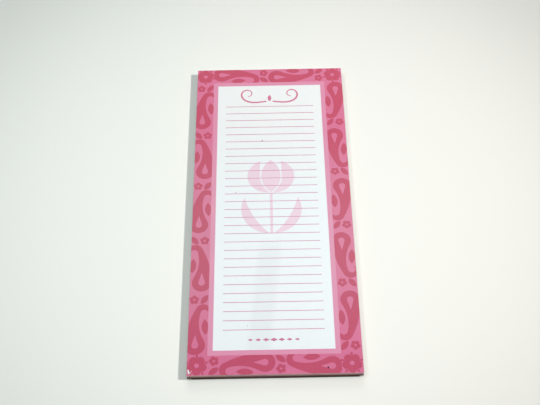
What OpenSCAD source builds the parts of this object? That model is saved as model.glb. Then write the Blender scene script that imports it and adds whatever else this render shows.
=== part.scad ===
// Magnetic notepad: a block of printed sheets glued along its head to a
// chipboard back, with a flexible magnet stuck behind the board.
// Millimetres. The pad lies face up on its magnet, with the origin under its
// middle, the foot towards -Y and the glued head towards +Y.

/* [Pad] */
// Width across the sheets
pad_w = 95.25; // [85:0.25:130]
// Length from the foot to the outside of the glue film
pad_h = 215.9; // [205:0.1:280]

/* [Sheets] */
// Number of sheets left on the pad
sheet_count = 34; // [12:1:50]
// Thickness of one sheet
sheet_t = 0.09; // [0.07:0.01:0.12]
// Most that the edge of a lower sheet stands back from the top sheet
sheet_stray = 0.15; // [0.05:0.01:0.3]

/* [Glued head] */
// Thickness of the film of padding glue
glue_t = 0.4; // [0.2:0.05:0.8]
// How far the film stops short of the face of the top sheet
glue_drop = 0.1; // [0:0.05:0.3]

/* [Backing] */
// Thickness of the chipboard back
board_t = 1; // [0.4:0.1:1.5]
// Thickness of the adhesive film between board and magnet
film_t = 0.1; // [0.05:0.01:0.2]
// How far the adhesive film stops short of the magnet's edge
film_inset = 0.5; // [0.2:0.1:2]
// Thickness of the flexible magnet
magnet_t = 1.8; // [0.5:0.1:2.4]
// How far the magnet stands back from the board's edge
magnet_inset = 0.3; // [0.1:0.1:6]
// Corner radius of the magnet
magnet_corner_r = 3; // [1:0.5:8]

/* [Printed frame] */
// Thickness of a layer of ink
ink_t = 0.03; // [0.02:0.01:0.05]
// Width of the patterned border
border_w = 11.3; // [9:0.1:13]
// Width of the pale line round the writing panel
frame_w = 2.85; // [1:0.05:4]
// How far the whole print sits off the sheet's middle, towards -X
print_drift = 0.37; // [0:0.01:1]

/* [Ruled lines] */
// Distance from one ruled line to the next
rule_pitch = 5.63; // [4.5:0.01:9]
// Thickness of a ruled line
rule_w = 0.35; // [0.2:0.05:0.8]
// Length of a ruled line
rule_l = 56.4; // [40:0.1:58]
// Height of the lowest ruled line above the pale frame line
rule_rise = 12.1; // [6:0.1:16]
// Least room over the top ruled line, for the flourish
rule_headroom = 17; // [14:0.1:22]

/* [Paisley border] */
// Length of border that one paisley and its bud take up, before it is evened out
paisley_pitch = 37; // [34:0.5:44]
// Radius of the round head of a paisley
paisley_r = 5.6; // [4:0.1:5.8]

/* [Tulip] */
// Length of the middle petal of the pale tulip
petal_l = 24; // [15:0.5:30]
// Width of the middle petal
petal_w = 12; // [8:0.5:14]
// Clear line between two petals
petal_gap = 0.8; // [0.4:0.1:1.2]
// Length of its stem
stem_l = 29; // [20:0.5:35]
// Thickness of the stem
stem_w = 1.6; // [1:0.1:2.5]
// Height of the foot of the stem above the pale frame line
tulip_rise = 74; // [40:1:90]

/* [Ornaments] */
// Length of each half of the flourish over the ruled lines
flourish_l = 34; // [20:0.5:36]
// Height of the thick ends of the flourish above the top ruled line
flourish_rise = 4.2; // [3:0.1:6]
// Number of lozenges in the row under the ruled lines
lozenge_count = 7; // [3:2:9]
// Length of the middle lozenge
lozenge_l = 4.3; // [2:0.1:6]
// Height of the row of lozenges above the pale frame line
lozenge_rise = 6; // [4:0.1:8]

/* [Hidden] */
$fn = 48;
// How far the straight steps of a printed curve may stand off it
fineness = 0.06;

// Heights of the layers, from the magnet's face up
film_z = magnet_t;
board_z = film_z + film_t;
block_z = board_z + board_t;
face_z = block_z + sheet_count * sheet_t;

// The sheets stop at the inside of the glue film
sheet_h = pad_h - glue_t;
sheet_foot = -pad_h / 2;

// The writing panel, and the frame line round it
panel_w = pad_w - 2 * (border_w + frame_w);
panel_h = sheet_h - 2 * (border_w + frame_w);
panel_foot = -panel_h / 2;
rule_foot = panel_foot + rule_rise;
rule_count = 1 + floor((panel_h - rule_rise - rule_headroom) / rule_pitch);
rule_head = rule_foot + (rule_count - 1) * rule_pitch;

magnet_brown = [0.16, 0.13, 0.12];
film_amber = [0.85, 0.83, 0.75];
board_grey = [0.55, 0.5, 0.44];
paper_white = [0.97, 0.97, 0.97];
glue_white = [0.93, 0.92, 0.9];
rose = [0.76, 0.33, 0.43];
pink = [0.87, 0.47, 0.64];
pale_pink = [0.9, 0.6, 0.73];
blush = [0.93, 0.83, 0.88];

// A repeatable figure from 0 to 1 for the item with this number
function scatter(item, seed) =
    let (wave = sin(item * 127.1 + seed * 311.7) * 43.7585)
    wave - floor(wave);

function polar(radius, angle) = [radius * cos(angle), radius * sin(angle)];

function unit(v) = v / norm(v);

// Points along an arc, from one angle up to the other but without it
function arc(centre, r, from, to) =
    let (steps = ceil(abs(to - from) / (2 * acos(1 - fineness / r))))
    [for (i = [0 : steps - 1]) centre + polar(r, from + (to - from) * i / steps)];

// Share of a stroke's length at step i, with its longest steps where it starts
// out nearly straight
function along(i, steps) = pow(i / steps, 0.62);

// Middle line of a stroke that starts at the origin in one direction and turns
// by bend in all, most of it near the tip when sharpen is large
function spine(length, heading, bend, sharpen, steps) =
    [for (
        i = 0, p = [0, 0];
        i <= steps;
        p = p + length * (along(i + 1, steps) - along(i, steps))
            * polar(1, heading + bend * pow(along(i + 0.5, steps), sharpen)),
        i = i + 1
    ) p];

// Outline of a stroke along a middle line, with a half width for each of its
// points and a round thick end
function stroke(mid, halves) =
    let (
        last = len(mid) - 1,
        cap_steps = 8,
        ways = [for (i = [0 : last]) mid[min(last, i + 1)] - mid[max(0, i - 1)]],
        sides = [for (way = ways) unit([way[1], -way[0]])],
        back = atan2(sides[0][1], sides[0][0]) - 180
    )
    concat(
        [for (i = [1 : cap_steps - 1]) mid[0] + polar(halves[0], back + 180 * i / cap_steps)],
        [for (i = [0 : last]) mid[i] + sides[i] * halves[i]],
        [for (i = [last : -1 : 0]) mid[i] - sides[i] * halves[i]]
    );

// Half widths that run from thick to thin, with a belly between them
function tapered(thick, thin, belly, steps) =
    [for (i = [0 : steps])
        let (t = along(i, steps))
        (thin + (thick - thin) * (1 - t)) * (1 + belly * sin(180 * t))];

module dot(centre, r) {
    polygon(arc(centre, r, 0, 360));
}

// A leaf with both ends pointed, growing along +Y from the origin
module leaf(length, width) {
    r = (length * length + width * width) / (4 * width);
    half = asin(length / 2 / r);
    polygon(concat(
        arc([width / 2 - r, length / 2], r, -half, half),
        arc([r - width / 2, length / 2], r, 180 - half, 180 + half)
    ));
}

// A blade that grows along +Y and bows towards +X, between two arcs through its
// two points
module blade(length, outer_bow, inner_bow) {
    outer_r = (length * length / 4 + outer_bow * outer_bow) / (2 * outer_bow);
    inner_r = (length * length / 4 + inner_bow * inner_bow) / (2 * inner_bow);
    outer_half = acos(1 - outer_bow / outer_r);
    inner_half = acos(1 - inner_bow / inner_r);
    polygon(concat(
        arc([outer_bow - outer_r, length / 2], outer_r, -outer_half, outer_half),
        arc([inner_bow - inner_r, length / 2], inner_r, inner_half, -inner_half)
    ));
}

// A flower of five round petals with an open eye
module blossom(r) {
    petal_r = 0.43 * r;
    // Half the turn of a petal's edge, up to where it meets the next petal
    sweep = 87;
    difference() {
        polygon([
            for (a = [90 : 72 : 449])
                each arc(polar(r - petal_r, a), petal_r, a - sweep, a + sweep)
        ]);
        dot([0, 0], 0.24 * r);
    }
}

module rounded_plate(w, h, r) {
    square([w - 2 * r, h], center = true);
    square([w, h - 2 * r], center = true);
    for (x = [-1, 1], y = [-1, 1])
        translate([x * (w / 2 - r), y * (h / 2 - r)])
            circle(r);
}

// What is drawn for the print, round the middle of the sheet, goes on the face of
// the top sheet, above the ink layers under it, and drifts with the whole print
module ink(layer = 0) {
    translate([-print_drift, -glue_t / 2, face_z + layer * ink_t])
        linear_extrude(ink_t)
            children();
}

// The edge of the top sheet, as the print sees it
module sheet_outline() {
    translate([print_drift, 0])
        square([pad_w, sheet_h], center = true);
}

module panel(grow) {
    square([panel_w + 2 * grow, panel_h + 2 * grow], center = true);
}

// Bare paper where the corner at the foot is scuffed through the ink
module scuffs() {
    translate([print_drift - pad_w / 2, -sheet_h / 2]) {
        translate([1.4, 0.6])
            rotate(14)
                leaf(3.4, 0.9);
        translate([1.1, 1.7])
            rotate(-104)
                leaf(1.4, 0.5);
        dot([2.5, 2.5], 0.25);
    }
}

// A round head at the origin, with a tail that rises from its left side, bends
// over to the right and ends in a hook. Each arc runs smoothly into the next.
module paisley(r) {
    crown_r = 0.75 * r;
    crown = [0.72, 3.7] * r;
    // The hook wraps round an eye, and thins towards its tip
    eye_r = 0.4 * r;
    tip_angle = -62;
    eye = crown + polar(crown_r - eye_r - 0.05 * r, tip_angle);
    // Outer side of the tail, which touches the head's left side and the crown
    reach = crown + [r, 0];
    back_r = (reach * reach - crown_r * crown_r) / (2 * (reach[0] - crown_r));
    back = [back_r - r, 0];
    bend = atan2(crown[1] - back[1], crown[0] - back[0]);
    // Hollow side of the tail, which touches the head and the eye
    lean = -16;
    slack = (eye * eye - pow(r + eye_r, 2)) / (2 * (r + eye_r - eye * polar(1, lean)));
    hollow = eye + polar(slack, lean);
    neck = atan2(hollow[1], hollow[0]);
    difference() {
        polygon(concat(
            arc([0, 0], r, 180, 360 + neck),
            arc(hollow, slack + eye_r, 180 + neck, 180 + lean),
            arc(eye, eye_r, 180 + lean, tip_angle),
            arc(crown, crown_r, tip_angle, bend),
            arc(back, back_r, bend, 180)
        ));
        paisley_drop(0.34 * r);
    }
}

// The clear drop in a paisley's head, round below and pointed above
module paisley_drop(r) {
    point = [0, 3.4 * r];
    lean = asin(r / point[1]);
    polygon(concat(arc([0, 0], r, 180 - lean, 360 + lean), [polar(r, lean), point]));
}

// A paisley with a leaf in the hollow of its tail, and a bud beyond it
module paisley_unit(r) {
    translate([-0.24 * r, -2.35 * r]) {
        paisley(r);
        translate([1.02 * r, 1.1 * r])
            rotate(4)
                leaf(1.7 * r, 0.7 * r);
    }
    translate([-0.44 * r, 2.6 * r])
        blossom(0.5 * r);
    translate([0.24 * r, 2.14 * r])
        rotate(-36)
            leaf(1.2 * r, 0.6 * r);
}

// Paisleys along a stretch of border, every other one turned over
module paisley_run(length) {
    count = max(1, round(length / paisley_pitch));
    pitch = length / count;
    intersection() {
        for (i = [0 : count - 1])
            translate([0, (i + 0.5 - count / 2) * pitch])
                mirror([i % 2, 0])
                    paisley_unit(paisley_r);
        square([2 * border_w, length], center = true);
    }
}

module corner_flower() {
    blossom(border_w / 2);
    for (k = [0 : 4])
        rotate(36 + k * 72)
            translate([0, border_w * 0.38])
                leaf(border_w * 0.2, border_w * 0.12);
}

module paisley_border() {
    x = (pad_w - border_w) / 2;
    y = (sheet_h - border_w) / 2;
    for (turn = [0, 180])
        rotate(turn) {
            translate([-x, 0])
                paisley_run(sheet_h - 2 * border_w);
            translate([0, y])
                rotate(-90)
                    paisley_run(pad_w - 2 * border_w);
            for (side = [-1, 1])
                translate([side * x, y])
                    corner_flower();
        }
}

// Side petals wrap round the middle one, with a clear line between them
module tulip_bloom() {
    leaf(petal_l, petal_w);
    difference() {
        for (side = [0, 1])
            mirror([side, 0])
                translate([petal_gap / 2, 0])
                    rotate(-14)
                        blade(petal_l, petal_w * 0.92, petal_w * 0.22);
        translate([0, -petal_gap])
            leaf(petal_l + 2 * petal_gap, petal_w + 2 * petal_gap);
    }
}

module tulip() {
    translate([0, stem_l])
        tulip_bloom();
    translate([-stem_w / 2, 0])
        square([stem_w, stem_l - petal_gap]);
    for (side = [0, 1])
        mirror([side, 0])
            translate([stem_w / 2 + petal_gap, 0])
                rotate(-30)
                    blade(stem_l, stem_l * 0.28, stem_l * 0.07);
}

module rules() {
    for (i = [0 : rule_count - 1])
        translate([0, rule_foot + i * rule_pitch])
            square([rule_l, rule_w], center = true);
}

// Two mirrored curls with a leaf between them
module flourish() {
    steps = 17;
    for (side = [0, 1])
        mirror([side, 0])
            translate([flourish_l * 0.07, 0])
                polygon(stroke(
                    spine(flourish_l, -10, 375, 2.3, steps),
                    tapered(0.5, 0.25, 0.5, steps)
                ));
    leaf(flourish_l * 0.16, flourish_l * 0.07);
}

module lozenge(length) {
    polygon([[-length / 2, 0], [0, -length / 4], [length / 2, 0], [0, length / 4]]);
}

module magnet() {
    color(magnet_brown)
        linear_extrude(magnet_t)
            rounded_plate(pad_w - 2 * magnet_inset, pad_h - 2 * magnet_inset, magnet_corner_r);
}

module adhesive_film() {
    inset = magnet_inset + film_inset;
    color(film_amber)
        translate([0, 0, film_z])
            linear_extrude(film_t)
                rounded_plate(pad_w - 2 * inset, pad_h - 2 * inset, magnet_corner_r);
}

module backing_board() {
    color(board_grey)
        translate([-pad_w / 2, sheet_foot, board_z])
            cube([pad_w, sheet_h, board_t]);
}

// Every sheet but the top one strays a little at its three cut edges
module page_block() {
    color(paper_white)
        for (i = [0 : sheet_count - 1]) {
            stray = i == sheet_count - 1 ? 0 : sheet_stray;
            left = stray * scatter(i, 1);
            right = stray * scatter(i, 2);
            foot = stray * scatter(i, 3);
            translate([left - pad_w / 2, sheet_foot + foot, block_z + i * sheet_t])
                cube([pad_w - left - right, sheet_h - foot, sheet_t]);
        }
}

// Brushed on across the head of board and sheets, with a soft upper edge
module glue_film() {
    rise = face_z - glue_drop - board_z;
    color(glue_white)
        translate([-pad_w / 2, pad_h / 2 - glue_t, board_z])
            rotate([90, 0, 90])
                linear_extrude(pad_w)
                    union() {
                        square([glue_t, rise - glue_t]);
                        intersection() {
                            translate([0, rise - glue_t])
                                circle(glue_t);
                            square([glue_t, rise]);
                        }
                    }
}

module print_ground() {
    color(pink)
        ink()
            difference() {
                sheet_outline();
                panel(frame_w);
                scuffs();
            }
}

module print_paisleys() {
    color(rose)
        ink(1)
            difference() {
                intersection() {
                    paisley_border();
                    sheet_outline();
                }
                panel(frame_w);
                scuffs();
            }
}

module print_frame() {
    color(pale_pink)
        ink()
            difference() {
                panel(frame_w);
                panel(0);
            }
}

module print_tulip() {
    color(blush)
        ink()
            difference() {
                translate([0, panel_foot + tulip_rise])
                    tulip();
                rules();
            }
}

module print_rules() {
    color(rose)
        ink()
            rules();
}

module print_flourish() {
    color(rose)
        ink()
            translate([0, rule_head + flourish_rise])
                flourish();
}

module print_lozenges() {
    middle = (lozenge_count - 1) / 2;
    color(rose)
        ink()
            for (i = [0 : lozenge_count - 1])
                translate([(i - middle) * lozenge_l, panel_foot + lozenge_rise])
                    lozenge(lozenge_l * (1 - abs(i - middle) / (lozenge_count + 2)));
}

magnet();
adhesive_film();
backing_board();
page_block();
glue_film();
print_ground();
print_paisleys();
print_frame();
print_tulip();
print_rules();
print_flourish();
print_lozenges();
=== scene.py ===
"""Looks of a magnetic notepad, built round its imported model.

Laid out as an add-on: the settings, one operator for each piece or group of like pieces,
and a panel in the 3D view's sidebar that lists them. Metres, in the frame of the model.
"""

import math

import bmesh
import bpy
from bpy.props import FloatProperty, FloatVectorProperty, IntProperty, PointerProperty
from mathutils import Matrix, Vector, noise


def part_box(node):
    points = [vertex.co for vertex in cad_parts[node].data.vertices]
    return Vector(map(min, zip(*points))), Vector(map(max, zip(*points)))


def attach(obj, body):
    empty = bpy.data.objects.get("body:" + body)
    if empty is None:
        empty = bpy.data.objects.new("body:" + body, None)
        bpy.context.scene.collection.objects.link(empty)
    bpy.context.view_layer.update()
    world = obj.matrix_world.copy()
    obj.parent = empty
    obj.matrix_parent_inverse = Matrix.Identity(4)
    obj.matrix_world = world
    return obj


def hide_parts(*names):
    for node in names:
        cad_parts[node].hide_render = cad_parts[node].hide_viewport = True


bl_info = {
    "name": "Magnetic notepad",
    "version": (1, 0, 0),
    "blender": (4, 5, 0),
    "location": "3D View > Sidebar > Notepad",
    "description": "Sheets, padding glue, chipboard, magnet, inks and stage of a magnetic notepad",
    "category": "Object",
}

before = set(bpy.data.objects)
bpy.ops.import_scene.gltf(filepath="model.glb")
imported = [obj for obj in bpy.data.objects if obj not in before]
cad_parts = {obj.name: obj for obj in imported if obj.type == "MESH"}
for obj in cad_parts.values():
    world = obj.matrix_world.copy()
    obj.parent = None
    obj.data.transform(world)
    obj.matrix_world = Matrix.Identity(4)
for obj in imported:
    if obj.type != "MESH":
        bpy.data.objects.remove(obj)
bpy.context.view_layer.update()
BLOCK_LOW, BLOCK_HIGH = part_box("page_block")
GLUE_LOW, GLUE_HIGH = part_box("glue_film")
PRINT_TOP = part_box("print_paisleys")[1].z
MM = 0.001

# Points across and along one sheet
SHEET_POINTS = (13, 27)

# Slow waves in which the top sheet lies: their length, and how far they outdo its fibres
WAVE_LENGTH = 55 * MM
WAVE_SHARE = 20.0

# How deep the top sheet's own face reaches, and how deep the edges of the stack stay free of
# painted shade
FACE_DEPTH = 0.03 * MM
UNSHADED_DEPTH = 1 * MM

# Places along the pad between which a painted sheen pales the print and the paper
SHEEN_LOW, SHEEN_HIGH = -97 * MM, 54 * MM

# The painted shade band under the figure: its lean to the left and its place at half length, its
# half width where it is full and where it ends, the places where it begins and is full, its depth
SHADE_BAND_LEAN = 0.11
SHADE_BAND_ASIDE = 1.5 * MM
SHADE_BAND_CORE, SHADE_BAND_REACH = 4.5 * MM, 8 * MM
SHADE_BAND_TOP, SHADE_BAND_FULL = -22 * MM, -32 * MM
SHADE_BAND_DEPTH = 0.055

# The table's tone, painted as a pool of light: brightest at its middle, and duller by the reach,
# down to a floor
TABLE_HALF = 3
TABLE_MIDDLE = (0.002, 0.023, 0)
TABLE_REACH = 0.346
TABLE_POWER = 3.0
TABLE_FLOOR, TABLE_KNEE = 0.68, 0.3
# Painted shade across the table, darker towards the side lamp, and a painted warm tinge on the
# lamp's side
TABLE_SIDE = 0.3
TABLE_SLOPE = 0.157
TABLE_WARM_FROM = 0.1

# Lamps: angles in degrees. A height over 90 leans towards the foot.
SIDE_LAMP_SPREAD = 3.5
STRIP_HEIGHTS, STRIP_TURN, STRIP_SPREAD = (108, 80, 40), 90, 26
LEFT_LAMP_HEIGHT, LEFT_LAMP_TURN, LEFT_LAMP_SPREAD = 63, 180, 3
SIDE_LAMP_TINT = (1.045, 1, 0.99)
LEFT_LAMP_TINT = (0.8, 1, 1.04)

# The camera, worked out from the corners of the top sheet in the photo
SENSOR_WIDTH = 36
CAMERA_SHIFT = (-0.0009, 0.00095)
CAMERA_PLACE = (-0.000672, -0.28858, 0.448297 + BLOCK_HIGH.z)
CAMERA_TURN = (32.88396, 0.59163, -0.86564)


def tone(red, green, blue):
    """Linear colour of a tone that is given from 0 to 255, as a screen shows it."""
    shares = [level / 255 for level in (red, green, blue)]
    return tuple(
        s / 12.92 if s <= 0.04045 else ((s + 0.055) / 1.055) ** 2.4 for s in shares
    )


# Paper that shows through worn ink and whose tone the painted sheen takes, ink dragged into the
# glue, and what is round the table
BARE_PAPER_AND_SHEEN = tone(243, 240, 242)
GLUE_STREAK = tone(212, 176, 182)
SKY_TONE = tone(252, 253, 255)
BACKDROP_TONE = tone(204, 207, 202)


def length_setting(label, words, default, most):
    """A length that a user may change, from nothing up to its most."""
    return FloatProperty(
        name=label,
        description=words,
        default=default,
        min=0,
        max=most,
        precision=5,
        unit="LENGTH",
        subtype="DISTANCE",
    )


def colour_setting(label, words, default):
    """A colour that a user may change."""
    return FloatVectorProperty(
        name=label,
        description=words,
        default=default,
        min=0,
        max=1,
        size=3,
        subtype="COLOR",
    )


class SheetSettings(bpy.types.PropertyGroup):
    """The block of sheets"""

    count: IntProperty(name="Sheets", description="Sheets on the pad", default=34, min=2, max=50)
    stray: length_setting(
        "Stray", "Most that the edge of a lower sheet stands back", 0.15 * MM, 0.3 * MM
    )
    gap: length_setting("Gap", "Air between two sheets", 0.012 * MM, 0.03 * MM)
    seed: IntProperty(name="Seed", description="Picks another stack", default=7, min=0)
    # Face of the paper, darker towards the foot by painted shade
    paper_head: colour_setting("Paper, head", "Face of the sheets at the head", tone(244, 247, 246))
    paper_foot: colour_setting("Paper, foot", "Face of the sheets at the foot", tone(233, 241, 242))
    # Paper where the painted sheen is fullest, a little below halfway
    paper_sheen: colour_setting(
        "Paper, middle", "Face of the sheets halfway along", tone(240, 248, 248)
    )
    cut_edge: colour_setting(
        "Cut edge", "Edge of the sheets, tinged by the ink cut through", tone(244, 226, 220)
    )
    rim: colour_setting("Rims", "Border ink on the rims of the lower sheets", tone(224, 186, 187))
    # Painted shade on the edges and rims of the sheets next to the board
    painted_low_shade: colour_setting("Grime", "Edges of the sheets next to the board", tone(118, 66, 64))


class GlueSettings(bpy.types.PropertyGroup):
    """The film of padding glue"""

    brush_marks: length_setting("Brush marks", "Depth of the brush marks", 0.08 * MM, 0.3 * MM)
    ragged: length_setting("Ragged edge", "How far the upper edge wanders", 0.3 * MM, 1 * MM)
    milk: colour_setting("Glue", "Dried padding glue", tone(233, 226, 222))


class BackSettings(bpy.types.PropertyGroup):
    """The board, the adhesive and the magnet"""

    chipboard: colour_setting("Chipboard", "Dark red-brown board", tone(94, 62, 60))
    fleck: colour_setting("Fleck", "Dark flecks in the board", tone(64, 48, 44))
    adhesive: colour_setting("Adhesive", "Tacky film", tone(196, 184, 158))
    magnet: colour_setting("Magnet", "Magnetic rubber", tone(48, 36, 34))
    magnet_dust: colour_setting("Magnet dust", "Pale dust in the rubber", tone(82, 70, 66))


class InkSettings(bpy.types.PropertyGroup):
    """The printed inks; those given a head and a foot tone are darker towards the foot by painted
    shade
    """

    rose_head: colour_setting("Rose, head", "Dark rose at the head", tone(201, 83, 109))
    rose_foot: colour_setting("Rose, foot", "Dark rose at the foot", tone(187, 74, 104))
    pink_head: colour_setting("Pink, head", "Mid pink at the head", tone(221, 122, 155))
    pink_foot: colour_setting("Pink, foot", "Mid pink at the foot", tone(208, 110, 146))
    pale_head: colour_setting("Pale pink, head", "Line round the panel", tone(226, 148, 177))
    pale_foot: colour_setting("Pale pink, foot", "Line round the panel", tone(218, 144, 173))
    blush: colour_setting("Blush", "Figure behind the lines", tone(236, 212, 224))
    line: colour_setting("Line", "Ruled lines", tone(199, 99, 140))
    flourish: colour_setting("Flourish", "Ornament over the lines", tone(214, 122, 150))
    lozenges: colour_setting("Lozenges", "Ornaments under the lines", tone(199, 122, 150))


class StageSettings(bpy.types.PropertyGroup):
    """The table, the lamps and the camera"""

    table: colour_setting("Table", "Table on the left of the pad", tone(245, 250, 243))
    # Table tone on the side lamp's side, a painted warm tinge of its light
    table_painted_warmth: colour_setting(
        "Table, lit side", "Table on the side lamp's side", tone(251, 251, 244)
    )
    sky: FloatProperty(
        name="Sky", description="Light from all round, where 1 is white", default=0.1, min=0, max=1
    )
    overhead: FloatProperty(
        name="Overhead", description="Light of the strip overhead", default=0.31, min=0, max=1
    )
    left: FloatProperty(
        name="Left lamp",
        description="Light of the small lamp on the left",
        default=0.12,
        min=0,
        max=1,
    )
    lamp: FloatProperty(
        name="Lamp", description="Light of the side lamp on the table", default=0.47, min=0, max=1
    )
    lamp_height: FloatProperty(
        name="Lamp height",
        description="Height of the side lamp above the table",
        default=math.radians(50.5),
        min=0.1,
        max=math.pi / 2,
        subtype="ANGLE",
    )
    lamp_turn: FloatProperty(
        name="Lamp turn",
        description="Turn of the side lamp from the right towards the head",
        default=math.radians(-11),
        min=-math.pi,
        max=math.pi,
        subtype="ANGLE",
    )
    lamp_distance: length_setting("Lamp distance", "From the pad to the side lamp", 1.2, 5)
    lens: FloatProperty(
        name="Lens",
        description="Focal length on a 36 mm wide sensor, in mm",
        default=59.059,
        min=10,
    )


class NotepadSettings(bpy.types.PropertyGroup):
    """All settings of the notepad"""

    sheets: PointerProperty(type=SheetSettings)
    glue: PointerProperty(type=GlueSettings)
    back: PointerProperty(type=BackSettings)
    inks: PointerProperty(type=InkSettings)
    stage: PointerProperty(type=StageSettings)


def add(tree, kind, sockets=None, **settings):
    """A node of one kind, with its settings, and its sockets linked or set."""
    made = tree.nodes.new(kind)
    for name, value in settings.items():
        setattr(made, name, value)
    for name, value in (sockets or {}).items():
        socket = made.inputs[name]
        if isinstance(value, bpy.types.NodeSocket):
            tree.links.new(value, socket)
        elif socket.type == "RGBA":
            socket.default_value = (*value[:3], 1)
        else:
            socket.default_value = value
    return made


def maths(tree, operation, *values):
    """The result of a sum on numbers."""
    return add(tree, "ShaderNodeMath", dict(enumerate(values)), operation=operation).outputs[0]


def mapped(tree, value, low, high, to_low, to_high):
    """A value carried from one range to another, and held inside it."""
    sockets = {0: value, 1: low, 2: high, 3: to_low, 4: to_high}
    return add(tree, "ShaderNodeMapRange", sockets).outputs[0]


def blended(tree, share, first, second):
    """One colour that turns into another as the share goes from 0 to 1."""
    return add(tree, "ShaderNodeMix", {0: share, 6: first, 7: second}, data_type="RGBA").outputs[2]


def blotches(tree, place, size, detail=2.0, stretch=(1, 1, 1)):
    """Soft blotches from 0 to 1, about one size across and longer where stretched."""
    scale = [1 / (size * s) for s in stretch]
    spread = add(tree, "ShaderNodeMapping", {"Vector": place, "Scale": scale}).outputs[0]
    sockets = {"Vector": spread, "Scale": 1.0, "Detail": detail}
    return add(tree, "ShaderNodeTexNoise", sockets).outputs[0]


def scaled(tree, colour, level):
    """A colour made lighter or darker by a level."""
    sockets = {0: colour, "Scale": level}
    return add(tree, "ShaderNodeVectorMath", sockets, operation="SCALE").outputs[0]


def uneven(tree, colour, pattern, amount):
    """A colour that grows lighter and darker by an amount with a pattern of blotches."""
    return scaled(tree, colour, mapped(tree, pattern, 0.25, 0.75, 1 - amount, 1 + amount))


def part_of(tree, place, axis):
    """One coordinate of a point, where the axes are 0, 1 and 2."""
    return add(tree, "ShaderNodeSeparateXYZ", {0: place}).outputs[axis]


def start_finish(name):
    """A new finish: its material, tree, shader and the place of a point on the piece."""
    material = bpy.data.materials.new(name)
    material.use_nodes = True
    tree = material.node_tree
    place = add(tree, "ShaderNodeTexCoord").outputs["Object"]
    return material, tree, tree.nodes["Principled BSDF"], place


def raise_grain(tree, shader, height, strength, depth):
    """Gives a shader the bumps of a height pattern."""
    bump = add(tree, "ShaderNodeBump", {"Height": height, "Strength": strength, "Distance": depth})
    tree.links.new(bump.outputs[0], shader.inputs["Normal"])


def relief(tree, place, fibres):
    """Height of the top sheet: its fibres, on the slow waves in which the sheet lies."""
    waves = blotches(tree, place, WAVE_LENGTH, 1)
    return maths(tree, "MULTIPLY_ADD", waves, WAVE_SHARE, fibres)


def share_along_pad(tree, place):
    """0 at the foot of the pad and 1 at its head."""
    return mapped(tree, part_of(tree, place, 1), BLOCK_LOW.y, BLOCK_HIGH.y, 0, 1)


def painted_sheen_share(tree, place):
    """1 where the painted sheen pales the print most, a little below halfway, and 0 at the ends."""
    along = mapped(tree, part_of(tree, place, 1), SHEEN_LOW, SHEEN_HIGH, -1, 1)
    return maths(tree, "SUBTRACT", 1.0, maths(tree, "MULTIPLY", along, along))


def painted_shade_band(tree, place):
    """A broad faint band of painted shade, from 0 to 1, that leans from the figure's foot to the
    left.
    """
    x, y = part_of(tree, place, 0), part_of(tree, place, 1)
    aside = maths(tree, "SUBTRACT", x, maths(tree, "MULTIPLY_ADD", y, SHADE_BAND_LEAN, SHADE_BAND_ASIDE))
    across = mapped(tree, maths(tree, "ABSOLUTE", aside), SHADE_BAND_CORE, SHADE_BAND_REACH, 1, 0)
    return maths(tree, "MULTIPLY", across, mapped(tree, y, SHADE_BAND_FULL, SHADE_BAND_TOP, 1, 0))


def ink_finish(name, foot, head, show_through, painted_sheen=0.09):
    """Satin ink on paper, darker towards the foot by painted shade and paled a little below halfway
    by a painted sheen, with fibres that show through as paler specks.
    """
    material, tree, shader, place = start_finish(name)
    fibres = blotches(tree, place, 0.35 * MM, 4)
    density = blotches(tree, place, 14 * MM, 3)
    # Painted shade: the ink is darker towards the foot
    colour = blended(tree, share_along_pad(tree, place), foot, head)
    colour = uneven(tree, colour, density, 0.025)
    bare_and_sheen = mapped(tree, fibres, 0.52, 0.8, 0, show_through)
    # Painted sheen: the ink is paled towards bare paper a little below halfway
    bare_and_sheen = maths(tree, "MULTIPLY_ADD", painted_sheen_share(tree, place), painted_sheen, bare_and_sheen)
    colour = blended(tree, bare_and_sheen, colour, BARE_PAPER_AND_SHEEN)
    tree.links.new(colour, shader.inputs["Base Color"])
    tree.links.new(mapped(tree, fibres, 0.3, 0.7, 0.5, 0.68), shader.inputs["Roughness"])
    shader.inputs["Specular IOR Level"].default_value = 0.2
    raise_grain(tree, shader, relief(tree, place, fibres), 0.3, 0.02 * MM)
    return material


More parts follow.
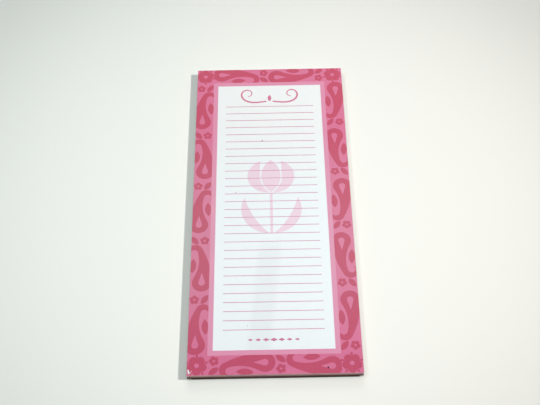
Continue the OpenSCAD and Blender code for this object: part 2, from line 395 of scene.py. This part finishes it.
def paper_finish(settings):
    """Smooth writing paper: cloudy fibres on the face, and ink dragged over the cut edges."""
    material, tree, shader, place = start_finish("writing_paper")
    fibres = blotches(tree, place, 0.3 * MM, 5)
    clouds = blotches(tree, place, 3.5 * MM, 3)
    # Painted shade: the face is darker towards the foot
    face = blended(
        tree, share_along_pad(tree, place), settings.paper_foot[:], settings.paper_head[:]
    )
    # Painted sheen: the face is brighter a little below halfway
    face = blended(tree, painted_sheen_share(tree, place), face, settings.paper_sheen[:])
    face = uneven(tree, face, clouds, 0.01)
    face = uneven(tree, face, fibres, 0.012)
    # Painted shade: a faint grey band under the figure
    face = scaled(
        tree, face, maths(tree, "MULTIPLY_ADD", painted_shade_band(tree, place), -SHADE_BAND_DEPTH, 1.0)
    )
    height = part_of(tree, place, 2)
    lower = maths(tree, "LESS_THAN", height, BLOCK_HIGH.z - FACE_DEPTH)
    # Painted shade: the edges and the rims are darker towards the board
    unshaded = mapped(tree, height, BLOCK_LOW.z, BLOCK_HIGH.z - UNSHADED_DEPTH, 0, 1)
    rim = blended(tree, unshaded, settings.painted_low_shade[:], settings.rim[:])
    face = blended(tree, lower, face, rim)
    drag = blotches(tree, place, 0.5 * MM, 3, (1, 1, 4))
    sheet_shade = add(tree, "ShaderNodeAttribute", attribute_name="sheet_shade").outputs["Fac"]
    edge = uneven(tree, settings.cut_edge[:], drag, 0.1)
    edge = uneven(tree, edge, mapped(tree, sheet_shade, 0, 1, 0.2, 0.8), 0.08)
    edge = blended(tree, unshaded, settings.painted_low_shade[:], edge)
    facing = add(tree, "ShaderNodeNewGeometry").outputs["Normal"]
    upward = maths(tree, "ABSOLUTE", part_of(tree, facing, 2))
    colour = blended(tree, mapped(tree, upward, 0.2, 0.8, 0, 1), edge, face)
    tree.links.new(colour, shader.inputs["Base Color"])
    tree.links.new(mapped(tree, fibres, 0.3, 0.7, 0.78, 0.9), shader.inputs["Roughness"])
    shader.inputs["Specular IOR Level"].default_value = 0.25
    raise_grain(tree, shader, relief(tree, place, fibres), 0.3, 0.02 * MM)
    return material


def glue_finish(settings):
    """Dried padding glue: milky, with a dull gloss and brush marks along the head."""
    material, tree, shader, place = start_finish("padding_glue")
    strokes = blotches(tree, place, 0.25 * MM, 3, (30, 1, 1))
    thick = blotches(tree, place, 5 * MM, 3, (3, 1, 1))
    colour = uneven(tree, settings.milk[:], thick, 0.06)
    colour = blended(tree, mapped(tree, strokes, 0.5, 0.8, 0, 0.3), colour, GLUE_STREAK)
    tree.links.new(colour, shader.inputs["Base Color"])
    tree.links.new(mapped(tree, strokes, 0.3, 0.7, 0.3, 0.5), shader.inputs["Roughness"])
    shader.inputs["Subsurface Weight"].default_value = 0.15
    shader.inputs["Subsurface Scale"].default_value = 0.3 * MM
    raise_grain(tree, shader, strokes, 0.4, 0.05 * MM)
    return material


def chipboard_finish(settings):
    """Red-brown board of pulped paper, with dark flecks and a fibrous cut edge."""
    material, tree, shader, place = start_finish("chipboard")
    pulp = blotches(tree, place, 1.2 * MM, 5)
    layers = blotches(tree, place, 0.18 * MM, 3, (12, 12, 1))
    cells = add(tree, "ShaderNodeTexVoronoi", {"Vector": place, "Scale": 1 / (1.1 * MM)})
    colour = uneven(tree, settings.chipboard[:], pulp, 0.14)
    colour = uneven(tree, colour, layers, 0.1)
    flecks = mapped(tree, cells.outputs["Distance"], 0.08, 0.2, 0.8, 0)
    colour = blended(tree, flecks, colour, settings.fleck[:])
    tree.links.new(colour, shader.inputs["Base Color"])
    tree.links.new(mapped(tree, pulp, 0.3, 0.7, 0.85, 0.98), shader.inputs["Roughness"])
    shader.inputs["Specular IOR Level"].default_value = 0.2
    raise_grain(tree, shader, layers, 0.6, 0.05 * MM)
    return material


def adhesive_finish(settings):
    """Tacky amber film with fine bubbles."""
    material, tree, shader, place = start_finish("tacky_film")
    bubbles = blotches(tree, place, 0.6 * MM, 2)
    colour = uneven(tree, settings.adhesive[:], bubbles, 0.1)
    tree.links.new(colour, shader.inputs["Base Color"])
    tree.links.new(mapped(tree, bubbles, 0.3, 0.7, 0.2, 0.4), shader.inputs["Roughness"])
    raise_grain(tree, shader, bubbles, 0.3, 0.03 * MM)
    return material


def magnet_finish(settings):
    """Rolled magnetic rubber: dull, with fine rolling streaks along its length and pale dust."""
    material, tree, shader, place = start_finish("magnetic_rubber")
    streaks = blotches(tree, place, 0.45 * MM, 3, (1, 40, 1))
    dust = blotches(tree, place, 0.22 * MM, 2)
    smears = blotches(tree, place, 9 * MM, 3)
    colour = uneven(tree, settings.magnet[:], streaks, 0.3)
    colour = uneven(tree, colour, smears, 0.15)
    specks = mapped(tree, dust, 0.66, 0.78, 0, 0.8)
    colour = blended(tree, specks, colour, settings.magnet_dust[:])
    tree.links.new(colour, shader.inputs["Base Color"])
    tree.links.new(mapped(tree, smears, 0.3, 0.7, 0.5, 0.72), shader.inputs["Roughness"])
    shader.inputs["Specular IOR Level"].default_value = 0.2
    raise_grain(tree, shader, maths(tree, "ADD", streaks, dust), 0.35, 0.03 * MM)
    return material


def dirt_finish():
    """Specks of dirt, each in the tone that it carries, with a grainy face."""
    material, tree, shader, place = start_finish("dirt_speck")
    carried = add(tree, "ShaderNodeAttribute", attribute_name="speck_tone").outputs["Color"]
    grain = blotches(tree, place, 0.12 * MM, 3)
    tree.links.new(uneven(tree, carried, grain, 0.2), shader.inputs["Base Color"])
    tree.links.new(mapped(tree, grain, 0.3, 0.7, 0.7, 0.95), shader.inputs["Roughness"])
    raise_grain(tree, shader, grain, 0.5, 0.02 * MM)
    return material


def piece_from(name, mesh, finish):
    """A finished piece on the pad, which carries its finish in its one material slot."""
    mesh.materials.clear()
    mesh.materials.append(finish)
    piece = bpy.data.objects.new(name, mesh)
    bpy.context.scene.collection.objects.link(piece)
    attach(piece, "root")
    return piece


def give_finish(node, finish):
    """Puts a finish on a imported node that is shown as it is."""
    for material_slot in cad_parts[node].material_slots:
        material_slot.material = finish


def sheet_stack_tree():
    """Geometry nodes that stack thin sheets, whose lower edges stray a little."""
    tree = bpy.data.node_groups.new("sheet_stack", "GeometryNodeTree")
    face = tree.interface
    for name, kind in (
        ("Foot", "NodeSocketVector"),
        ("Width", "NodeSocketFloat"),
        ("Length", "NodeSocketFloat"),
        ("Pitch", "NodeSocketFloat"),
        ("Gap", "NodeSocketFloat"),
        ("Stray", "NodeSocketFloat"),
        ("Sheets", "NodeSocketInt"),
        ("Seed", "NodeSocketInt"),
        ("Paper", "NodeSocketMaterial"),
    ):
        face.new_socket(name=name, in_out="INPUT", socket_type=kind)
    face.new_socket(name="Geometry", in_out="OUTPUT", socket_type="NodeSocketGeometry")
    given = tree.nodes.new("NodeGroupInput").outputs

    # Middle of the lowest sheet, and the step from one sheet to the next
    step = add(tree, "ShaderNodeCombineXYZ", {2: given["Pitch"]}).outputs[0]
    half_rise = maths(
        tree, "MULTIPLY", maths(tree, "ADD", given["Pitch"], given["Gap"]), 0.5
    )
    rise = add(tree, "ShaderNodeCombineXYZ", {2: half_rise}).outputs[0]
    start = add(
        tree, "ShaderNodeVectorMath", {0: given["Foot"], 1: rise}, operation="ADD"
    ).outputs[0]
    line = add(
        tree,
        "GeometryNodeMeshLine",
        {"Count": given["Sheets"], "Start Location": start, "Offset": step},
    ).outputs[0]

    # The top sheet keeps its full size
    place_in_stack = add(tree, "GeometryNodeInputIndex").outputs[0]
    last = maths(tree, "SUBTRACT", given["Sheets"], 1.0)
    below_top = maths(tree, "LESS_THAN", place_in_stack, last)

    def stray_by(which):
        """How far one edge of each sheet stands back."""
        seed = maths(tree, "ADD", given["Seed"], float(which))
        amount = add(
            tree,
            "FunctionNodeRandomValue",
            {2: 0.0, 3: given["Stray"], "ID": place_in_stack, "Seed": seed},
            data_type="FLOAT",
        ).outputs[1]
        return maths(tree, "MULTIPLY", amount, below_top)

    left, right, foot = (stray_by(which) for which in range(3))
    sideways = maths(tree, "MULTIPLY", maths(tree, "SUBTRACT", left, right), 0.5)
    forward = maths(tree, "MULTIPLY", foot, 0.5)
    shift = add(tree, "ShaderNodeCombineXYZ", {0: sideways, 1: forward}).outputs[0]
    strayed = add(tree, "GeometryNodeSetPosition", {"Geometry": line, "Offset": shift}).outputs[0]

    taken = maths(tree, "DIVIDE", maths(tree, "ADD", left, right), given["Width"])
    width_share = maths(tree, "SUBTRACT", 1.0, taken)
    length_share = maths(
        tree, "SUBTRACT", 1.0, maths(tree, "DIVIDE", foot, given["Length"])
    )
    shares = add(
        tree, "ShaderNodeCombineXYZ", {0: width_share, 1: length_share, 2: 1.0}
    ).outputs[0]
    thickness = maths(tree, "SUBTRACT", given["Pitch"], given["Gap"])
    size = add(
        tree,
        "ShaderNodeCombineXYZ",
        {0: given["Width"], 1: given["Length"], 2: thickness},
    ).outputs[0]
    points_across, points_along = SHEET_POINTS
    sheet = add(
        tree,
        "GeometryNodeMeshCube",
        {"Size": size, "Vertices X": points_across, "Vertices Y": points_along},
    ).outputs[0]
    stack = add(
        tree,
        "GeometryNodeInstanceOnPoints",
        {"Points": strayed, "Instance": sheet, "Scale": shares},
    ).outputs[0]
    shade = add(
        tree,
        "FunctionNodeRandomValue",
        {2: 0.0, 3: 1.0, "Seed": given["Seed"]},
        data_type="FLOAT",
    ).outputs[1]
    shaded = add(
        tree,
        "GeometryNodeStoreNamedAttribute",
        {"Geometry": stack, "Name": "sheet_shade", "Value": shade},
        data_type="FLOAT",
        domain="INSTANCE",
    ).outputs[0]
    real = add(tree, "GeometryNodeRealizeInstances", {0: shaded}).outputs[0]
    finished = add(
        tree, "GeometryNodeSetMaterial", {"Geometry": real, "Material": given["Paper"]}
    ).outputs[0]
    add(tree, "NodeGroupOutput", {"Geometry": finished})
    return tree


def mesh_from_tree(name, tree, values):
    """The plain mesh that a tree of geometry nodes makes with these input values."""
    carrier = bpy.data.objects.new(name, bpy.data.meshes.new(name))
    bpy.context.scene.collection.objects.link(carrier)
    modifier = carrier.modifiers.new(name, "NODES")
    modifier.node_group = tree
    for item in tree.interface.items_tree:
        if item.in_out == "INPUT":
            modifier[item.identifier] = values[item.name]
    depsgraph = bpy.context.evaluated_depsgraph_get()
    mesh = bpy.data.meshes.new_from_object(
        carrier.evaluated_get(depsgraph), depsgraph=depsgraph
    )
    carrier.modifiers.clear()
    bpy.data.objects.remove(carrier)
    return mesh


# Steps of the glue strip: across the pad, up its outer face and round its upper edge
STEPS_ACROSS, STEPS_UP, STEPS_ROUND = 260, 7, 5

# Waves in a metre of the strip's ragged edge, and of its long and short brush marks across
# and up the film. The last number of each keeps its noise apart from the others.
EDGE_WAVES, EDGE_LANE = 260, 3
LONG_MARKS = (45, 2600, 8)
SHORT_MARKS = (420, 900, 21)
LONG_SHARE, SHORT_SHARE = 0.35, 0.15


def brush_mark(x, z, marks):
    """Relief of one kind of brush mark at a place on the film, from -1 to 1."""
    across, up, lane = marks
    return noise.noise(Vector((x * across, z * up, lane)))


def glue_face(settings, x, z):
    """Outer face of the film at a place, drawn back by the brush marks."""
    long_mark = brush_mark(x, z, LONG_MARKS)
    short_mark = brush_mark(x, z, SHORT_MARKS)
    drawn = 0.5 + LONG_SHARE * long_mark + SHORT_SHARE * short_mark
    return GLUE_HIGH.y - settings.brush_marks * drawn


def glue_strip(settings):
    """A brushed strip across the head: flat where it holds the sheets, uneven outside."""
    film = GLUE_HIGH.y - GLUE_LOW.y
    width = GLUE_HIGH.x - GLUE_LOW.x
    made = bmesh.new()
    rings = []
    for i in range(STEPS_ACROSS + 1):
        x = GLUE_LOW.x + width * i / STEPS_ACROSS
        edge = noise.noise(Vector((x * EDGE_WAVES, EDGE_LANE, 0)))
        top = GLUE_HIGH.z - settings.ragged * (0.5 + 0.5 * edge)
        shoulder = top - film
        ring = [Vector((x, GLUE_LOW.y, GLUE_LOW.z))]
        for k in range(STEPS_UP + 1):
            z = GLUE_LOW.z + (shoulder - GLUE_LOW.z) * k / STEPS_UP
            ring.append(Vector((x, glue_face(settings, x, z), z)))
        reach = glue_face(settings, x, shoulder) - GLUE_LOW.y
        for k in range(1, STEPS_ROUND + 1):
            turn = math.pi / 2 * k / STEPS_ROUND
            ring.append(
                Vector((x, GLUE_LOW.y + reach * math.cos(turn), shoulder + film * math.sin(turn)))
            )
        rings.append([made.verts.new(point) for point in ring])
    for near, far in zip(rings, rings[1:]):
        for k in range(len(near)):
            after = (k + 1) % len(near)
            made.faces.new((near[k], near[after], far[after], far[k]))
    made.faces.new(rings[0][::-1])
    made.faces.new(rings[-1])
    bmesh.ops.recalc_face_normals(made, faces=made.faces)
    for face in made.faces:
        face.smooth = len(face.verts) == 4
    mesh = bpy.data.meshes.new("padding_glue")
    made.to_mesh(mesh)
    made.free()
    return mesh


# Specks of dirt: how far each lies from the lower left corner of the top sheet, its
# radius and its tone
SPECKS = (
    ((42.2 * MM, 156.3 * MM), 0.4 * MM, tone(188, 184, 130)),
    ((25.7 * MM, 117.2 * MM), 0.28 * MM, tone(150, 148, 150)),
    ((40.5 * MM, 119.7 * MM), 0.2 * MM, tone(110, 96, 104)),
    ((32.7 * MM, 28.6 * MM), 0.2 * MM, tone(165, 163, 166)),
    ((76.2 * MM, 3.3 * MM), 0.62 * MM, tone(44, 24, 30)),
)

# How far a speck stands over the print, and its rings from the rim to the crown, each with
# its share of the speck's radius and height
SPECK_RISE = 0.01 * MM
SPECK_RINGS = ((1.0, 0.0), (0.92, 0.7), (0.55, 0.95))
SPECK_SIDES = 18

# How far a speck's outline wanders, how often, and the step that gives each its own outline
SPECK_WANDER, SPECK_WAVES, SPECK_LANE = 0.35, 1.4, 5.3


def speck_outline(number, turn):
    """Share of a speck's radius that its outline reaches at a turn."""
    place = (math.cos(turn) * SPECK_WAVES, math.sin(turn) * SPECK_WAVES, number * SPECK_LANE)
    return 1 + SPECK_WANDER * noise.noise(Vector(place))


def specks_mesh():
    """Low crumbs with ragged outlines, each seated on the face of the sheet."""
    made = bmesh.new()
    carried = made.loops.layers.color.new("speck_tone")
    seat = BLOCK_HIGH.z
    height = PRINT_TOP + SPECK_RISE - seat
    for number, ((right, up), radius, colour) in enumerate(SPECKS):
        middle = Vector((BLOCK_LOW.x + right, BLOCK_LOW.y + up, seat))
        rings = []
        for share, level in SPECK_RINGS:
            ring = []
            for k in range(SPECK_SIDES):
                turn = 2 * math.pi * k / SPECK_SIDES
                reach = radius * share * speck_outline(number, turn)
                out = Vector((math.cos(turn) * reach, math.sin(turn) * reach, height * level))
                ring.append(made.verts.new(middle + out))
            rings.append(ring)
        faces = [made.faces.new(rings[0][::-1]), made.faces.new(rings[-1])]
        for low, high in zip(rings, rings[1:]):
            for k in range(SPECK_SIDES):
                after = (k + 1) % SPECK_SIDES
                faces.append(made.faces.new((low[k], low[after], high[after], high[k])))
        for face in faces:
            for loop in face.loops:
                loop[carried] = (*colour, 1)
    mesh = bpy.data.meshes.new("dirt_specks")
    made.to_mesh(mesh)
    made.free()
    return mesh


class NOTEPAD_OT_sheets(bpy.types.Operator):
    """Stacks the sheets in the place of the page block"""

    bl_idname = "notepad.sheets"
    bl_label = "Sheets"

    def execute(self, context):
        settings = context.scene.notepad.sheets
        finish = paper_finish(settings)
        middle = (BLOCK_LOW + BLOCK_HIGH) / 2
        values = {
            "Foot": (middle.x, middle.y, BLOCK_LOW.z),
            "Width": BLOCK_HIGH.x - BLOCK_LOW.x,
            "Length": BLOCK_HIGH.y - BLOCK_LOW.y,
            "Pitch": (BLOCK_HIGH.z - BLOCK_LOW.z - settings.gap / 2) / settings.count,
            "Gap": settings.gap,
            "Stray": settings.stray,
            "Sheets": settings.count,
            "Seed": settings.seed,
            "Paper": finish,
        }
        mesh = mesh_from_tree("sheets", sheet_stack_tree(), values)
        if not mesh.polygons:
            raise RuntimeError("the stack of sheets came out empty")
        piece = piece_from("sheets", mesh, finish)
        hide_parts("page_block")
        return {"FINISHED"}


class NOTEPAD_OT_padding_glue(bpy.types.Operator):
    """Brushes the padding glue over the head of the pad"""

    bl_idname = "notepad.padding_glue"
    bl_label = "Padding glue"

    def execute(self, context):
        settings = context.scene.notepad.glue
        piece = piece_from(
            "padding_glue", glue_strip(settings), glue_finish(settings)
        )
        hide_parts("glue_film")
        return {"FINISHED"}


class NOTEPAD_OT_back(bpy.types.Operator):
    """Finishes the chipboard, the adhesive film and the magnet"""

    bl_idname = "notepad.back"
    bl_label = "Back"

    def execute(self, context):
        settings = context.scene.notepad.back
        give_finish("backing_board", chipboard_finish(settings))
        give_finish("adhesive_film", adhesive_finish(settings))
        give_finish("magnet", magnet_finish(settings))
        return {"FINISHED"}


class NOTEPAD_OT_inks(bpy.types.Operator):
    """Inks the border, the frame line, the figure, the rules and the ornaments"""

    bl_idname = "notepad.inks"
    bl_label = "Inks"

    def execute(self, context):
        inks = context.scene.notepad.inks
        rose = ink_finish("rose_ink", inks.rose_foot[:], inks.rose_head[:], 0.1, painted_sheen=0.05)
        give_finish("print_paisleys", rose)
        pink = ink_finish("pink_ink", inks.pink_foot[:], inks.pink_head[:], 0.1)
        give_finish("print_ground", pink)
        pale = ink_finish("pale_pink_ink", inks.pale_foot[:], inks.pale_head[:], 0.15)
        give_finish("print_frame", pale)
        for node, name, ink, show_through in (
            ("print_tulip", "blush_ink", inks.blush, 0.3),
            ("print_rules", "line_ink", inks.line, 0.3),
            ("print_flourish", "print_flourish_ink", inks.flourish, 0.1),
            ("print_lozenges", "print_lozenges_ink", inks.lozenges, 0.1),
        ):
            give_finish(node, ink_finish(name, ink[:], ink[:], show_through))
        return {"FINISHED"}


class NOTEPAD_OT_specks(bpy.types.Operator):
    """Drops the specks of dirt on the top sheet"""

    bl_idname = "notepad.specks"
    bl_label = "Specks"

    def execute(self, context):
        piece_from("dirt_specks", specks_mesh(), dirt_finish())
        return {"FINISHED"}


def table_finish(settings):
    """Pale table with a painted pool of light, brightest beside the pad and duller further out,
    painted darker and warmer towards the side lamp.
    """
    material = bpy.data.materials.new("pale_table")
    material.use_nodes = True
    tree = material.node_tree
    tree.nodes.clear()
    place = add(tree, "ShaderNodeTexCoord").outputs["Object"]
    away = add(
        tree, "ShaderNodeVectorMath", {0: place, 1: TABLE_MIDDLE}, operation="SUBTRACT"
    ).outputs[0]
    distance = add(tree, "ShaderNodeVectorMath", {0: away}, operation="LENGTH").outputs["Value"]
    falloff = maths(tree, "POWER", maths(tree, "DIVIDE", distance, TABLE_REACH), TABLE_POWER)
    level = maths(tree, "SUBTRACT", 1.0, falloff)
    level = maths(tree, "SMOOTH_MAX", level, TABLE_FLOOR, TABLE_KNEE)
    across = part_of(tree, place, 0)
    tilt = mapped(tree, across, -TABLE_SIDE, TABLE_SIDE, 1 + TABLE_SLOPE, 1 - TABLE_SLOPE)
    level = maths(tree, "MULTIPLY", level, tilt)
    warmth = mapped(tree, across, -TABLE_WARM_FROM, TABLE_WARM_FROM, 0, 1)
    colour = blended(tree, warmth, settings.table[:], settings.table_painted_warmth[:])
    face = add(tree, "ShaderNodeBsdfDiffuse", {"Color": scaled(tree, colour, level)}).outputs[0]
    add(tree, "ShaderNodeOutputMaterial", {"Surface": face})
    return material


def light_world(settings):
    """Even light from all round, which the camera and gloss see as the pale table's tone."""
    world = bpy.data.worlds.new("studio")
    world.use_nodes = True
    tree = world.node_tree
    tree.nodes.clear()
    path = add(tree, "ShaderNodeLightPath").outputs
    seen = maths(tree, "MAXIMUM", path["Is Camera Ray"], path["Is Glossy Ray"])
    seen = maths(tree, "MAXIMUM", seen, path["Is Transmission Ray"])
    ambient = add(
        tree,
        "ShaderNodeBackground",
        {"Color": SKY_TONE, "Strength": settings.sky},
    ).outputs[0]
    backdrop = add(
        tree, "ShaderNodeBackground", {"Color": BACKDROP_TONE, "Strength": 1.0}
    ).outputs[0]
    mixed = add(tree, "ShaderNodeMixShader", {0: seen, 1: ambient, 2: backdrop}).outputs[0]
    add(tree, "ShaderNodeOutputWorld", {"Surface": mixed})
    bpy.context.scene.world = world


def hang_lamp(name, kind, height, turn, distance):
    """A lamp that looks down at the middle of the pad."""
    lamp = bpy.data.lights.new(name, kind)
    across = math.cos(height)
    towards = Vector((math.cos(turn) * across, math.sin(turn) * across, math.sin(height)))
    holder = bpy.data.objects.new(name, lamp)
    holder.location = towards * distance
    holder.rotation_euler = towards.to_track_quat("Z", "Y").to_euler()
    bpy.context.scene.collection.objects.link(holder)
    return lamp


def hang_side_lamp(settings):
    """A small lamp on the right, near enough to light the right of the pad a little more."""
    height, distance = settings.lamp_height, settings.lamp_distance
    lamp = hang_lamp("side_lamp", "POINT", height, settings.lamp_turn, distance)
    lamp.energy = settings.lamp * (2 * math.pi * distance) ** 2 / math.sin(height)
    lamp.shadow_soft_size = distance * math.tan(math.radians(SIDE_LAMP_SPREAD) / 2)
    lamp.color = SIDE_LAMP_TINT


def hang_far_lamp(name, level, height, turn, spread):
    """A lamp so far off that it lights the whole table at one level."""
    lamp = hang_lamp(name, "SUN", math.radians(height), math.radians(turn), distance=1)
    lamp.energy = level * math.pi / math.sin(math.radians(height))
    lamp.angle = math.radians(spread)
    return lamp


def hang_overhead_strip(settings):
    """A long soft strip over the pad, from a little before its foot to far beyond its head."""
    level = settings.overhead / len(STRIP_HEIGHTS)
    for number, height in enumerate(STRIP_HEIGHTS):
        hang_far_lamp(f"strip_lamp_{number}", level, height, STRIP_TURN, STRIP_SPREAD)


def hang_left_lamp(settings):
    """A small cool lamp high on the left, which draws a thin faint shadow on the right."""
    lamp = hang_far_lamp(
        "left_lamp", settings.left, LEFT_LAMP_HEIGHT, LEFT_LAMP_TURN, LEFT_LAMP_SPREAD
    )
    lamp.color = LEFT_LAMP_TINT


def place_camera(settings):
    """The camera looks down over the foot of the pad, a hair off square."""
    camera = bpy.data.cameras.new("camera")
    camera.sensor_width = SENSOR_WIDTH
    camera.lens = settings.lens
    camera.clip_start = 0.01
    camera.shift_x, camera.shift_y = CAMERA_SHIFT
    holder = bpy.data.objects.new("camera", camera)
    holder.location = CAMERA_PLACE
    holder.rotation_euler = [math.radians(angle) for angle in CAMERA_TURN]
    bpy.context.scene.collection.objects.link(holder)
    bpy.context.scene.camera = holder


class NOTEPAD_OT_stage(bpy.types.Operator):
    """Sets the table, the lamps, the world and the camera"""

    bl_idname = "notepad.stage"
    bl_label = "Stage"

    def execute(self, context):
        settings = context.scene.notepad.stage
        half = TABLE_HALF
        mesh = bpy.data.meshes.new("table")
        corners = [(-half, -half, 0), (half, -half, 0), (half, half, 0), (-half, half, 0)]
        mesh.from_pydata(corners, [], [(0, 1, 2, 3)])
        mesh.materials.append(table_finish(settings))
        table = bpy.data.objects.new("table", mesh)
        context.scene.collection.objects.link(table)
        light_world(settings)
        hang_side_lamp(settings)
        hang_overhead_strip(settings)
        hang_left_lamp(settings)
        place_camera(settings)
        context.scene.view_settings.view_transform = "Standard"
        return {"FINISHED"}


OPERATORS = (
    NOTEPAD_OT_sheets,
    NOTEPAD_OT_padding_glue,
    NOTEPAD_OT_back,
    NOTEPAD_OT_inks,
    NOTEPAD_OT_specks,
    NOTEPAD_OT_stage,
)


class NOTEPAD_PT_pieces(bpy.types.Panel):
    """Lists the pieces of the notepad with their settings"""

    bl_idname = "NOTEPAD_PT_pieces"
    bl_label = "Magnetic notepad"
    bl_space_type = "VIEW_3D"
    bl_region_type = "UI"
    bl_category = "Notepad"

    def draw(self, context):
        for operator in OPERATORS:
            self.layout.operator(operator.bl_idname)
        for group in ("sheets", "glue", "back", "inks", "stage"):
            settings = getattr(context.scene.notepad, group)
            box = self.layout.box()
            box.label(text=settings.bl_rna.description)
            for name in settings.__annotations__:
                box.prop(settings, name)


CLASSES = (
    SheetSettings,
    GlueSettings,
    BackSettings,
    InkSettings,
    StageSettings,
    NotepadSettings,
    *OPERATORS,
    NOTEPAD_PT_pieces,
)


def register():
    """Adds the classes to Blender and the settings to its scenes."""
    for cls in CLASSES:
        bpy.utils.register_class(cls)
    bpy.types.Scene.notepad = PointerProperty(type=NotepadSettings)


def unregister():
    """Takes the settings and the classes out again."""
    del bpy.types.Scene.notepad
    for cls in reversed(CLASSES):
        bpy.utils.unregister_class(cls)


def main():
    """Builds every piece and the stage."""
    register()
    bpy.ops.notepad.sheets()
    bpy.ops.notepad.padding_glue()
    bpy.ops.notepad.back()
    bpy.ops.notepad.inks()
    bpy.ops.notepad.specks()
    bpy.ops.notepad.stage()


if __name__ == "__main__":
    main()
